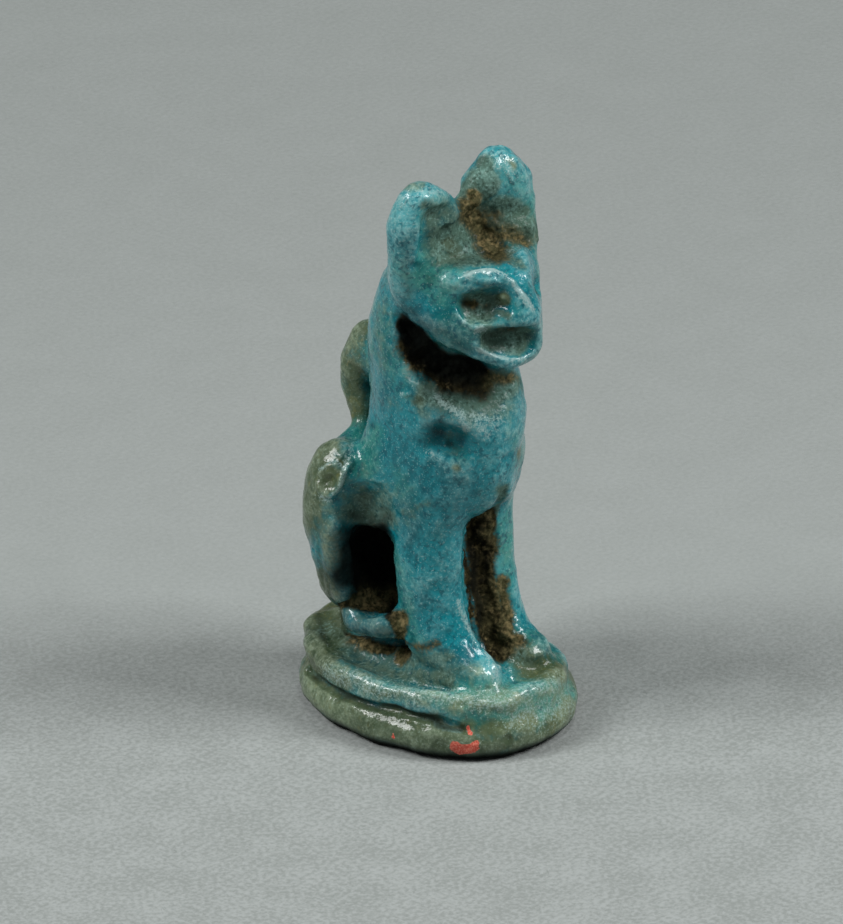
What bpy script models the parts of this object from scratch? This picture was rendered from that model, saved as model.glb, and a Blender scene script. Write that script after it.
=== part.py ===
"""A seated cat amulet, moulded in one piece of glazed faience on an oval two-tier plinth.

The cat faces -Y and +Z is up. The origin is the centre of the flat underside.
Each form of the figure is the convex hull of a few balls of clay. The forms are fused and worn
smooth, the hollows are pressed out of them, the whole is worn again, and the foot is cut flat.
"""

import math

import bmesh
import bpy
from mathutils import Matrix, Vector

# Driving dimensions, in metres
PLINTH_LENGTH = 0.0089
PLINTH_WIDTH = 0.0071
LOWER_TIER_HEIGHT = 0.00125
LOWER_EDGE_RADIUS = 0.0006
UPPER_TIER_HEIGHT = 0.0005
UPPER_TIER_INSET = 0.0003
UPPER_EDGE_RADIUS = 0.00038
RIM_RADIUS = 0.0004
RIM_INSET = 0.00065
TAIL_RISE = 0.00031
TAIL_SPREAD = 0.0002
TROUGH_INSET = 0.00115
TROUGH_RADIUS = 0.0003
MOUND_RISE = 0.00045
FIGURE_HEIGHT = 0.0158
FIGURE_FORWARD = 0.00017
LOOP_HOLE_WIDTH = 0.0006
LOOP_HOLE_HEIGHT = 0.0015
LOOP_STRAP_RADIUS = 0.0006
FOOT_TRIM = 0.00004

# The plinth's plan is an ellipse whose sine and cosine are raised to this power, a little fuller
OVAL_POWER = 0.94

# Where the tail leaves the rump, as an angle round the plinth from the cat's left, in degrees
TAIL_TURN = 110
TAIL_FADE = 4

UPPER_TIER_TOP = LOWER_TIER_HEIGHT + UPPER_TIER_HEIGHT
FIGURE_BASE = UPPER_TIER_TOP + MOUND_RISE

# The figure is laid out on a grid that is this many units tall, from the mound's top to the ear tips
GRID_UNITS_TALL = 15.8
UNIT = FIGURE_HEIGHT / GRID_UNITS_TALL

# Where the loop's hole lies on the grid: its front, which is the cat's back, and its bottom
LOOP_BACK = 1.95
LOOP_LOW = 6.35

# How finely the clay is fused, how often the fused and the pressed clay are rubbed and how hard, and
# the share of the fused faces that the finished solid keeps
CLAY_GRAIN = FIGURE_HEIGHT / 140
FUSED_WEAR = 10
PRESSED_WEAR = 3
WEAR_STRENGTH = 0.5
KEPT_SHARE = 0.088

TIER_SIDES = 96
EDGE_STEPS = 8
RIM_STEPS = 16

GLAZE_COLOUR = (0.045, 0.21, 0.26, 1.0)
GLAZE_ROUGHNESS = 0.35


def at(x, y, z):
    """A place on the figure's grid, in metres; z is counted from the figure's base."""
    return Vector((x * UNIT, y * UNIT - FIGURE_FORWARD, FIGURE_BASE + z * UNIT))


def ball(x, y, z, rx, ry=None, rz=None):
    """A ball of clay: its centre, and its radii across, front to back and upwards, in grid units."""
    ry = rx if ry is None else ry
    rz = rx if rz is None else rz
    return at(x, y, z), Vector((rx, ry, rz)) * UNIT


def round_ball(place, radius):
    """A ball of clay at a place and of a radius in metres."""
    return Vector(place), Vector((radius, radius, radius))


def mirrored(balls):
    """The same balls on the cat's other side."""
    return [(Vector((-centre.x, centre.y, centre.z)), radii) for centre, radii in balls]


def both_sides(forms):
    return forms + [mirrored(balls) for balls in forms]


def chain(balls):
    """A form for each pair of neighbours, so that the row of balls can bend."""
    return [[a, b] for a, b in zip(balls, balls[1:])]


def hull_into(bm, balls):
    """Adds the convex hull of the balls to bm as one closed shell."""
    part = bmesh.new()
    for centre, radii in balls:
        place = Matrix.Translation(centre) @ Matrix.Diagonal(radii).to_4x4()
        bmesh.ops.create_icosphere(part, subdivisions=3, radius=1.0, matrix=place)
    result = bmesh.ops.convex_hull(part, input=part.verts)
    spare = set(result["geom_interior"]) | set(result["geom_unused"])
    spare_verts = [v for v in spare if isinstance(v, bmesh.types.BMVert)]
    bmesh.ops.delete(part, geom=spare_verts, context="VERTS")
    bmesh.ops.recalc_face_normals(part, faces=part.faces)
    mesh = bpy.data.meshes.new("form")
    part.to_mesh(mesh)
    part.free()
    bm.from_mesh(mesh)
    bpy.data.meshes.remove(mesh)


def plinth_oval(angle, inset):
    """A point of the plinth's plan, moved in by the inset; the angle is counted from the cat's left."""
    across = math.copysign(abs(math.cos(angle)) ** OVAL_POWER, math.cos(angle))
    along = math.copysign(abs(math.sin(angle)) ** OVAL_POWER, math.sin(angle))
    return (PLINTH_WIDTH / 2 - inset) * across, (PLINTH_LENGTH / 2 - inset) * along


def tier_into(bm, inset, low, high, edge):
    """Adds one oval tier of the plinth, with a rounded rim, as a stack of rings."""
    squeeze = min(edge, (high - low) / 2)
    rings = []
    for i in range(EDGE_STEPS + 1):
        turn = -math.pi / 2 + math.pi * i / EDGE_STEPS
        pulled_in = inset + edge * (1 - math.cos(turn))
        height = (low + squeeze if turn <= 0 else high - squeeze) + squeeze * math.sin(turn)
        ring = []
        for k in range(TIER_SIDES):
            x, y = plinth_oval(2 * math.pi * k / TIER_SIDES, pulled_in)
            ring.append(bm.verts.new((x, y, height)))
        rings.append(ring)
    for lower, upper in zip(rings, rings[1:]):
        for k in range(TIER_SIDES):
            n = (k + 1) % TIER_SIDES
            bm.faces.new((lower[k], lower[n], upper[n], upper[k]))
    bm.faces.new(rings[0][::-1])
    bm.faces.new(rings[-1])


def plinth_into(bm):
    tier_into(bm, 0.0, -FOOT_TRIM, LOWER_TIER_HEIGHT, LOWER_EDGE_RADIUS)
    tier_into(bm, UPPER_TIER_INSET, LOWER_TIER_HEIGHT - UPPER_EDGE_RADIUS / 4, UPPER_TIER_TOP,
              UPPER_EDGE_RADIUS)


def ground_forms():
    """The mound that the cat sits on, and the tail and raised rim that run round the plinth's top."""
    mound_radii = Vector((PLINTH_WIDTH * 0.366, PLINTH_LENGTH * 0.46, MOUND_RISE + UPPER_TIER_HEIGHT * 1.6))
    mound = [(Vector((0, PLINTH_LENGTH * 0.034, LOWER_TIER_HEIGHT - UPPER_EDGE_RADIUS / 8)), mound_radii)]
    row = []
    for step in range(RIM_STEPS + 1):
        angle = 2 * math.pi * step / RIM_STEPS
        # lower on the cat's left, and lifted and pushed out at the back, where the tail leaves the rump
        tail = max(0.0, math.cos(angle - math.radians(TAIL_TURN))) ** TAIL_FADE
        x, y = plinth_oval(angle, RIM_INSET - TAIL_SPREAD * tail)
        height = UPPER_TIER_TOP - RIM_RADIUS * (0.43 + 0.45 * max(0.0, math.cos(angle)) ** 2)
        row.append(round_ball((x, y, height + TAIL_RISE * tail), RIM_RADIUS))
    return [mound] + chain(row)


def body_forms():
    column = [ball(0, 0.05, 11.6, 1.85, 1.85, 1.2), ball(0, 0.1, 10.2, 2.0, 2.3, 1.3),
              ball(0, -0.25, 7.7, 2.05, 2.5, 2.3), ball(0, -0.35, 5.8, 1.85, 2.1, 1.4)]
    rump = [ball(0, 1.8, 4.4, 1.8, 1.9, 2.6), ball(0, 2.2, 1.6, 1.7, 1.6, 1.6)]
    soil = [ball(0, 0.9, 4.6, 0.7, 1.6, 0.8), ball(0, 0.4, 0.2, 0.8, 1.9, 0.5)]
    flank = [ball(1.2, 1.0, 5.3, 0.95, 1.3, 1.5), ball(0.9, 0.5, 7.0, 1.1, 1.4, 1.2)]
    haunch = [ball(1.95, 2.33, 4.55, 1.08, 1.2, 2.15), ball(1.5, 2.5, 1.9, 0.85, 0.8, 1.0)]
    thigh = [ball(1.6, 2.3, 4.8, 1.1, 1.0, 1.7), ball(0.8, 2.4, 5.3, 0.9, 1.1, 1.3)]
    hind_foot = [ball(1.85, 1.7, 0.9, 0.55), ball(2.05, 0.55, 1.05, 0.5, 0.6, 0.42)]
    shoulder = [ball(0.9, -0.4, 6.6, 1.15, 1.9, 1.6), ball(1.1, -0.35, 4.5, 1.05, 1.15, 1.0)]
    knee = ball(1.15, -0.5, 2.4, 0.95, 1.05, 1.0)
    ankle = ball(1.15, -0.7, 1.1, 0.93, 1.15, 0.8)
    heel = ball(1.15, -1.2, 0.3, 0.88, 1.2, 0.5)
    toes = ball(1.15, -2.45, 0.0, 0.74, 0.62, 0.5)
    foreleg = chain([shoulder[-1], knee, ankle, heel, toes])
    pairs = [flank, haunch, thigh, hind_foot, shoulder] + foreleg
    return [column, rump, soil] + both_sides(pairs)


def head_forms():
    crown = [ball(0, 0.1, 11.65, 1.85, 1.52, 1.5)] + [
        ball(x, -0.4, 11.8, 0.75, 0.9, 1.1) for x in (1.3, -1.3)]
    bridge = [ball(0, -2.45, 12.4, 0.5), ball(0, -3.1, 11.65, 0.5)]
    temple, jaw = ball(1.0, -1.9, 12.5, 0.5), ball(1.25, -1.1, 11.45, 0.7)
    lip, chin = ball(0.6, -2.65, 11.4, 0.52), ball(0.42, -2.92, 10.42, 0.48)
    side = [temple, jaw, lip, chin, ball(0.95, -2.2, 10.75, 0.48)]
    brow = chain([ball(1.5, -1.3, 12.75, 0.34), ball(1.0, -2.15, 12.85, 0.32),
                  ball(0.35, -2.7, 12.65, 0.32), ball(0, -3.2, 12.0, 0.3)])
    wall = [ball(-0.9, -0.5, 14.1, 0.45), ball(0.9, -0.5, 14.1, 0.45),
            ball(-1.6, -0.35, 12.6, 0.6), ball(1.6, -0.5, 12.6, 0.6)]
    right_ear = [ball(-1.75, -0.6, 15.15, 0.68), ball(-2.1, -0.4, 14.45, 0.68),
                 ball(-2.05, -0.3, 13.4, 0.55), ball(-0.95, -0.5, 14.8, 0.52), ball(-0.4, -0.5, 14.42, 0.42)]
    left_ear = [ball(1.75, -0.65, 15.1, 0.68), ball(2.2, -0.85, 14.5, 0.62),
                ball(2.3, -0.95, 13.4, 0.62), ball(0.78, -0.5, 14.65, 0.5)]
    right_root = [ball(-2.05, -0.3, 13.4, 0.55), ball(-1.5, -0.1, 12.2, 0.75), ball(-0.95, -0.5, 14.0, 0.5)]
    left_root = [ball(2.3, -0.95, 13.4, 0.62), ball(1.72, -1.15, 12.6, 0.85), ball(1.0, -0.5, 14.0, 0.5)]
    skull = crown + bridge + side + mirrored(side) + [ball(1.45, -1.75, 12.3, 0.6)]
    return [skull, wall, right_ear, left_ear, right_root, left_root] + both_sides(brow)


def loop_forms():
    """The suspension loop: a fat strap that stands off the back by the hole's width and spans its height."""
    strap = LOOP_STRAP_RADIUS / UNIT
    mid, high = LOOP_BACK + LOOP_HOLE_WIDTH / UNIT + strap, LOOP_LOW + LOOP_HOLE_HEIGHT / UNIT
    return chain([
        ball(0, 1.6, high + 0.9, 0.7, 0.55, 0.92), ball(0, mid - 0.2, high + 0.93, 0.7, 0.55, 0.9),
        ball(0, mid + 0.1, high + 0.35, 0.68, strap, 0.7), ball(0, mid + 0.03, high - 0.3, 0.65, strap, 0.5),
        ball(0, mid - 0.35, LOOP_LOW + 0.2, 0.6, strap - 0.1, 0.5),
        ball(0, mid - 0.6, LOOP_LOW - 0.6, 0.65, strap - 0.1, 0.55)])


def loop_hole():
    """The slot between the loop and the back, for a thread."""
    radius = LOOP_HOLE_WIDTH / UNIT / 2
    middle, high = LOOP_BACK + radius, LOOP_LOW + LOOP_HOLE_HEIGHT / UNIT
    return [ball(x, middle, z, radius) for x in (-1.3, 1.3) for z in (LOOP_LOW + radius, high - radius)]


def tier_groove():
    """The crease between the two tiers, along one side and the back; it runs out towards the front."""
    first, turn, count = math.radians(-52), math.radians(8), 19
    narrow, wide, taper = 0.00008, 0.00026, 4
    row = []
    for step in range(count):
        x, y = plinth_oval(first + turn * step, UPPER_TIER_INSET / 4)
        radius = narrow + (wide - narrow) * min(1.0, step / taper)
        row.append(round_ball((x, y, LOWER_TIER_HEIGHT), radius))
    return chain(row)


def trough_forms():
    """The hollow on the cat's right between the tail's rim and the feet."""
    first, turn, count = math.radians(140), math.radians(21), 4
    places = [plinth_oval(first + turn * step, TROUGH_INSET) for step in range(count)]
    return chain([round_ball((x, y, FIGURE_BASE + TROUGH_RADIUS / 3), TROUGH_RADIUS) for x, y in places])


def press_forms():
    """The hollows: throat, sides, ear cups, eyes, mouth, the gap of the forelegs, the chest's dimple."""
    right_throat = chain([ball(-2.1, -0.15, 11.05, 0.34), ball(-1.6, -1.25, 9.85, 0.8),
                          ball(-0.9, -2.2, 9.4, 0.8), ball(0, -2.75, 9.3, 0.7)])
    left_throat = chain([ball(2.1, -0.15, 11.05, 0.34), ball(1.75, -1.15, 9.85, 0.7),
                         ball(1.2, -2.1, 9.6, 0.5)])
    side = [ball(2.7, 1.32, 3.75, 0.6), ball(2.7, 1.25, 1.75, 0.55), ball(1.0, 1.5, 3.2, 0.6),
            ball(1.0, 1.3, 1.6, 0.6), ball(2.4, 0.95, 3.7, 0.45), ball(2.4, 0.9, 1.7, 0.4)]
    flank = [ball(2.95, 1.1, 4.95, 1.0, 0.75, 1.0)]
    eyes = [[ball(-1.5, -2.25, 12.1, 0.45, 0.45, 0.55), ball(-0.8, -2.85, 12.25, 0.42, 0.42, 0.55)],
            [ball(1.33, -2.82, 12.1, 0.42, 0.42, 0.5), ball(1.02, -3.08, 12.2, 0.42, 0.42, 0.5)]]
    mouth = [[ball(-1.02, -2.85, 10.87, 0.42, 0.42, 0.58), ball(-0.12, -3.5, 10.87, 0.4, 0.4, 0.58)],
             [ball(1.17, -2.9, 10.87, 0.46, 0.46, 0.52)]]
    cup_corner = ball(-0.6, -1.2, 13.85, 0.55), ball(0.6, -1.2, 13.8, 0.55)
    right_cup = [ball(-1.8, -1.05, 14.85, 0.36), ball(-1.75, -1.1, 13.9, 0.5), cup_corner[0],
                 ball(-0.9, -1.05, 14.4, 0.4)]
    left_cup = [ball(0.6, -1.4, 14.65, 0.42), cup_corner[1], ball(1.8, -1.95, 13.45, 0.5)]
    leg_gap = chain([ball(0, -2.6, 5.8, 0.16, 0.3, 0.3), ball(0, -2.1, 4.5, 0.38, 0.6, 0.5),
                     ball(0, -2.0, 2.6, 0.45, 0.75, 0.5), ball(0, -2.5, 0.7, 0.42, 0.9, 0.4)])
    dimple = [ball(-1.78, -1.86, 7.7, 0.45, 0.45, 0.3)]
    return (both_sides([side, flank] + tier_groove()) + right_throat + left_throat + leg_gap + eyes + mouth
            + trough_forms() + [right_cup, left_cup, list(cup_corner), dimple, loop_hole()])


def object_of(name, bm):
    mesh = bpy.data.meshes.new(name)
    bm.to_mesh(mesh)
    bm.free()
    mesh.shade_smooth()
    made = bpy.data.objects.new(name, mesh)
    bpy.context.scene.collection.objects.link(made)
    return made


def helper_of(name, bm):
    made = object_of(name, bm)
    made.hide_render = True
    made.display_type = "WIRE"
    return made


def fuse(made):
    skin = made.modifiers.new("fuse", "REMESH")
    skin.mode = "VOXEL"
    skin.voxel_size = CLAY_GRAIN
    skin.use_smooth_shade = True


def wear(made, passes):
    rub = made.modifiers.new("wear", "SMOOTH")
    rub.factor = WEAR_STRENGTH
    rub.iterations = passes


def cut_away(made, cutter):
    cut = made.modifiers.new(cutter.name, "BOOLEAN")
    cut.operation = "DIFFERENCE"
    cut.solver = "EXACT"
    cut.object = cutter


def clay_of(forms):
    bm = bmesh.new()
    for balls in forms:
        hull_into(bm, balls)
    return bm


def below_ground():
    """A block that fills everything under the plinth, to cut the foot flat."""
    size = Vector((PLINTH_WIDTH, PLINTH_LENGTH, PLINTH_LENGTH)) * 2
    place = Matrix.Translation((0, 0, -size.z / 2)) @ Matrix.Diagonal(size).to_4x4()
    bm = bmesh.new()
    bmesh.ops.create_cube(bm, size=1.0, matrix=place)
    return bm


def glaze():
    made = bpy.data.materials.new("faience")
    made.use_nodes = True
    shader = made.node_tree.nodes["Principled BSDF"]
    shader.inputs["Base Color"].default_value = GLAZE_COLOUR
    shader.inputs["Roughness"].default_value = GLAZE_ROUGHNESS
    return made


def build():
    for old in list(bpy.data.objects):
        bpy.data.objects.remove(old)
    clay = clay_of(ground_forms() + body_forms() + head_forms() + loop_forms())
    plinth_into(clay)
    amulet = object_of("cat_amulet", clay)
    amulet.data.materials.append(glaze())
    fuse(amulet)
    wear(amulet, FUSED_WEAR)
    hollows = helper_of("hollows", clay_of(press_forms()))
    fuse(hollows)
    cut_away(amulet, hollows)
    fuse(amulet)
    wear(amulet, PRESSED_WEAR)
    facets = amulet.modifiers.new("facets", "DECIMATE")
    facets.ratio = KEPT_SHARE
    cut_away(amulet, helper_of("foot_cut", below_ground()))


build()
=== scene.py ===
"""The looks of the cat amulet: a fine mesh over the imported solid, worn glaze, soil, floor and lights.

Places that the photograph shows are written as its pixels, and a ray through the pixel finds the
surface. Sizes are in millimetres and are turned into metres where they are used.
"""

import math

import bmesh
import bpy
import numpy as np
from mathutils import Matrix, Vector, noise
from mathutils.bvhtree import BVHTree


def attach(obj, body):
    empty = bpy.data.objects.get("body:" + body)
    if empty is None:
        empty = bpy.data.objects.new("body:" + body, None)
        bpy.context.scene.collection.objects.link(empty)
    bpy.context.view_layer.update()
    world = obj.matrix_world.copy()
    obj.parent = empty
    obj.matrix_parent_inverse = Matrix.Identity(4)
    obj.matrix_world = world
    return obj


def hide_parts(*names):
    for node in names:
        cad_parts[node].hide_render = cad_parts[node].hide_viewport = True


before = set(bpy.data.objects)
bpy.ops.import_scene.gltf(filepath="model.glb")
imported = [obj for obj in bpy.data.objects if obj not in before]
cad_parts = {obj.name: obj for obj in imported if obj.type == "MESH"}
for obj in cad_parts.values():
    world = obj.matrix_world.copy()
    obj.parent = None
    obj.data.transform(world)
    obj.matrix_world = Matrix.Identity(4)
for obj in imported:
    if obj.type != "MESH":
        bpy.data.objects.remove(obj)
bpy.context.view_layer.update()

MM = 0.001

# The photograph's view: where the camera stands, its scale at the origin, and the origin's pixel
PHOTO_SIZE = (843, 924)
VIEW_AZIMUTH = -50
VIEW_ELEVATION = 26
VIEW_DISTANCE = 600
PIXELS_PER_MM = 33.6
ORIGIN_PIXEL = (438.1, 703.8)

# The width of the camera's sensor, and the nearest that it sees
SENSOR = 36
CLIP_START = 10

# How much of the depth along the view the marks of colour leave out
DEPTH_CUT = 0.6

# The fine mesh: what is welded first, its voxels, how they are eased, and how many triangles it keeps
WELD_GAP = 0.0001
SKIN_GRAIN = 0.057
EASE_FACTOR = 0.5
EASE_PASSES = 8
SKIN_TRIANGLES = 196000

# How often the surface is smoothed to rub edges soft, to even out broad areas and to find its hollows
RUB_PASSES = 60
EVEN_PASSES = 200
HOLLOW_PASSES = 60

# Random waves: how many are added up, and their half lengths by the size that is asked for
WAVE_COUNT = 28
WAVE_LENGTHS = (0.7, 1.5)

# The surface's own unevenness: (height, size, seed)
UNDULATIONS = [(0.018, 0.9, 11), (0.009, 0.35, 12), (0.005, 0.16, 13)]

# The pits in the glaze: their number, the lowest place for one, their widths and their depths by width
PIT_SEED = 5
PIT_COUNT = 110
PIT_LOWEST = 0.15
PIT_WIDTHS = (0.06, 0.15)
PIT_DEPTHS = (0.15, 0.4)

# The soil's crumbs and swells, as (height, size, seed), how far it is sunk, and the thinnest that counts
CRUMBS = [(0.07, 0.22, 1), (0.03, 0.1, 2)]
SOIL_SWELL = (0.03, 0.25, 21)
SOIL_SUNK = 0.05
SOIL_THINNEST = 0.02

# How steep a crumb is, and how far each seed moves the crumbs
CRUMB_STEEPNESS = 1.6
CRUMB_SHIFT = (7.3, 3.1, 5.7)

# How the masks' edges wander, as (distance, size, seed)
RAGGED = [(0.06, 0.6, 31), (0.012, 0.2, 41)]

# The dirt round the foot, and the painted shade along its undercut edge, by mask: its strength at the
# ground, the height that takes 1 off it, and its most
FOOT_DIRT_AND_SHADE = {"stain": (1.3, 0.4, 1), "soil": (0.7, 0.4, 1), "soil_and_shade": (1.35, 0.38, 0.9)}

# The floor's side, and the lights: (name, azimuth from the camera's, elevation, side, power)
FLOOR_SIDE = 4000
LIGHT_DISTANCE = 400
LIGHT_AIM_HEIGHT = 8
LIGHTS = [
    ("left_softbox", -74, 45, 150, 1.28),
    ("right_softbox", 79, 45, 150, 1.28),
    ("top_softbox", 10, 66, 55, 0.2),
]
SKY_COLOUR = (0.93, 0.97, 1.0, 1.0)
SKY_STRENGTH = 0.1


def view_axes():
    """Unit vectors to the right, upwards and back towards the camera, as the photograph sees them."""
    turn, lift = math.radians(VIEW_AZIMUTH), math.radians(VIEW_ELEVATION)
    back = Vector((math.sin(turn) * math.cos(lift), -math.cos(turn) * math.cos(lift), math.sin(lift)))
    right = Vector((math.cos(turn), math.sin(turn), 0))
    return right, back.cross(right), back


RIGHT, UP, BACK = view_axes()
AIM = (RIGHT * (PHOTO_SIZE[0] / 2 - ORIGIN_PIXEL[0])
       + UP * (ORIGIN_PIXEL[1] - PHOTO_SIZE[1] / 2)) / PIXELS_PER_MM
EYE = AIM + BACK * VIEW_DISTANCE


def pixel_ray(pixel):
    """The direction from the camera through a pixel of the photograph."""
    across = (pixel[0] - PHOTO_SIZE[0] / 2) / PIXELS_PER_MM
    upwards = (PHOTO_SIZE[1] / 2 - pixel[1]) / PIXELS_PER_MM
    return (AIM + RIGHT * across + UP * upwards - EYE).normalized()


def apply_modifiers(piece):
    graph = bpy.context.evaluated_depsgraph_get()
    made = bpy.data.meshes.new_from_object(piece.evaluated_get(graph))
    piece.modifiers.clear()
    piece.data = made


def points_of(mesh):
    """The mesh's vertices in millimetres."""
    flat = np.empty(len(mesh.vertices) * 3, np.float32)
    mesh.vertices.foreach_get("co", flat)
    return flat.reshape(-1, 3).astype(float) / MM


def normals_of(mesh):
    flat = np.empty(len(mesh.vertices) * 3, np.float32)
    mesh.vertices.foreach_get("normal", flat)
    return flat.reshape(-1, 3).astype(float)


def edges_of(mesh):
    flat = np.empty(len(mesh.edges) * 2, np.int32)
    mesh.edges.foreach_get("vertices", flat)
    return flat.reshape(-1, 2)


def put_points(mesh, points):
    mesh.vertices.foreach_set("co", (points * MM).astype(np.float32).ravel())
    mesh.update()


def relaxed(values, edges, passes):
    """The values after each vertex has moved to its neighbours' mean that many times, halfway each time."""
    count = np.bincount(edges.ravel(), minlength=len(values)).astype(float)
    count[count == 0] = 1
    values = values.copy()
    flat = values.ndim == 1
    for _ in range(passes):
        columns = [values] if flat else values.T
        mean = []
        for column in columns:
            total = np.bincount(edges[:, 0], column[edges[:, 1]], len(values))
            total += np.bincount(edges[:, 1], column[edges[:, 0]], len(values))
            mean.append(total / count)
        values = (values + (mean[0] if flat else np.stack(mean, 1))) / 2
    return values


def fine_copy(node, name):
    """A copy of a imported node, with its facets rounded and its surface remade in small, even faces."""
    clay = bmesh.new()
    clay.from_mesh(node.data)
    bmesh.ops.remove_doubles(clay, verts=clay.verts, dist=WELD_GAP * MM)
    mesh = bpy.data.meshes.new(name)
    clay.to_mesh(mesh)
    clay.free()
    piece = bpy.data.objects.new(name, mesh)
    bpy.context.scene.collection.objects.link(piece)
    rounded = piece.modifiers.new("rounded", "SUBSURF")
    rounded.levels = rounded.render_levels = 1
    skin = piece.modifiers.new("skin", "REMESH")
    skin.mode = "VOXEL"
    skin.voxel_size = SKIN_GRAIN * MM
    eased = piece.modifiers.new("eased", "SMOOTH")
    eased.factor = EASE_FACTOR
    eased.iterations = EASE_PASSES
    apply_modifiers(piece)
    return piece


piece = fine_copy(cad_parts["cat_amulet"], "amulet_skin")
TREE = BVHTree.FromPolygons([tuple(p) for p in points_of(piece.data)],
                            [tuple(p.vertices) for p in piece.data.polygons])


def seen(pixel):
    """The point of the surface, in millimetres, that this pixel of the photograph shows."""
    direction = pixel_ray(pixel)
    hit = TREE.ray_cast(EYE, direction)[0]
    if hit is None:
        along = VIEW_DISTANCE / -direction.dot(BACK)
        hit = TREE.find_nearest(EYE + direction * along)[0]
    return hit


def places(line, far_side=False):
    """Surface points for a line of pixels or of places; far_side takes their mirror images."""
    found = []
    for spot in line:
        point = Vector(spot) if len(spot) == 3 else seen(spot)
        if far_side:
            point = Vector((-point.x, point.y, point.z))
        if far_side or len(spot) == 3:
            point = TREE.find_nearest(point)[0]
        found.append(np.array(point))
    return found


def way_to(points, line):
    """Each point's distance from a line of places, and how far along it the nearest place is, 0 to 1."""
    if len(line) == 1:
        return np.linalg.norm(points - line[0], axis=1), np.full(len(points), 0.5)
    best = np.full(len(points), np.inf)
    share = np.zeros(len(points))
    steps = len(line) - 1
    for i, (a, b) in enumerate(zip(line, line[1:])):
        run = b - a
        t = np.clip((points - a) @ run / max(run @ run, 1e-9), 0, 1)
        gap = np.linalg.norm(points - a - t[:, None] * run, axis=1)
        nearer = gap < best
        best[nearer] = gap[nearer]
        share[nearer] = ((i + t) / steps)[nearer]
    return best, share


def falloff(gap, width):
    """1 on the line, falling smoothly to 0 at the width."""
    t = np.clip(1 - gap / width, 0, 1)
    return t * t * (3 - 2 * t)


def stroke(points, line, width, taper=0.0, far_side=False):
    """How much of a stroke along this line each point gets; taper is how much it thins at both ends."""
    gap, share = way_to(points, places(line, far_side))
    thin = 1 - taper * (2 * np.abs(share - 0.5)) ** 2
    return falloff(gap, width) * thin


def waves(points, size, seed):
    """A smooth random field of about unit strength whose lumps are this many millimetres across."""
    draw = np.random.default_rng(seed)
    field = np.zeros(len(points))
    for _ in range(WAVE_COUNT):
        way = draw.normal(size=3)
        way *= 2 * math.pi / (size * 2 * draw.uniform(*WAVE_LENGTHS)) / np.linalg.norm(way)
        field += np.cos(points @ way + draw.uniform(0, 2 * math.pi))
    return field / math.sqrt(WAVE_COUNT / 2)


def crumbs(points, size, seed):
    """Rounded crumbs of about this size: 1 at each crumb's middle and 0 in the gaps between them."""
    shift = Vector([seed * step for step in CRUMB_SHIFT])
    found = np.empty(len(points))
    for i, p in enumerate(points):
        near = noise.voronoi(Vector(p) / size + shift)[0]
        found[i] = near[1] - near[0]
    return np.clip(found * CRUMB_STEEPNESS, 0, 1)


# Where edges are rubbed soft: (line, width)
RUBBED = [
    # the forehead behind the brow, and the ears' cups
    ([(437, 268), (458, 256), (478, 243)], 0.5),
    ([(445, 266), (475, 260), (505, 262), (522, 275)], 0.4),
    ([(478, 240), (500, 235), (526, 240)], 0.42),
    ([(452, 202), (463, 203), (472, 206)], 0.35),
    ([(424, 240), (424, 225), (430, 210), (446, 208)], 0.6),
    ([(430, 258), (440, 266)], 0.4),
    # the eye and the mouth
    ([(457, 300), (470, 314), (495, 314)], 0.3),
    ([(458, 292), (475, 286), (502, 288)], 0.25),
    ([(486, 348), (505, 356), (525, 353)], 0.3),
    # the flank, the hollow under it, the dimple, the top of the gap between the forelegs, and the hind foot
    ([(342, 500), (350, 490), (365, 482), (385, 490), (392, 505)], 0.4),
    ([(345, 522), (368, 521), (388, 526)], 0.35),
    ([(346, 535), (344, 560), (346, 590)], 0.6),
    ([(450, 440)], 0.6),
    ([(500, 486), (486, 512), (470, 522)], 0.35),
    ([(345, 615), (365, 622), (390, 632)], 0.4),
]

# Where broad areas are evened out: (line, width)
EVENED = [
    # the brow, the near ear's cup, and the far ear's shelf and edge
    ([(508, 266), (524, 280), (534, 300)], 0.55),
    ([(426, 212), (426, 235), (432, 255)], 0.50),
    ([(486, 210), (505, 216), (528, 222)], 0.85),
    ([(498, 148), (514, 153), (526, 170), (532, 192)], 0.35),
    # the chest under the throat, the jaw, the eye's corner and the arch over the flank
    ([(440, 400), (466, 408), (486, 410), (508, 404)], 0.75),
    ([(430, 340), (446, 350), (462, 359)], 0.50),
    ([(498, 314)], 0.30),
    ([(345, 497), (366, 486), (388, 497)], 0.55),
    # the plinth beside the hind foot and the paw, and the dimple in the chest
    ([(332, 612), (336, 636), (350, 656)], 0.75),
    ([(408, 662), (430, 674), (456, 682)], 0.50),
    ([(436, 437), (456, 442)], 0.80),
]

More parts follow.
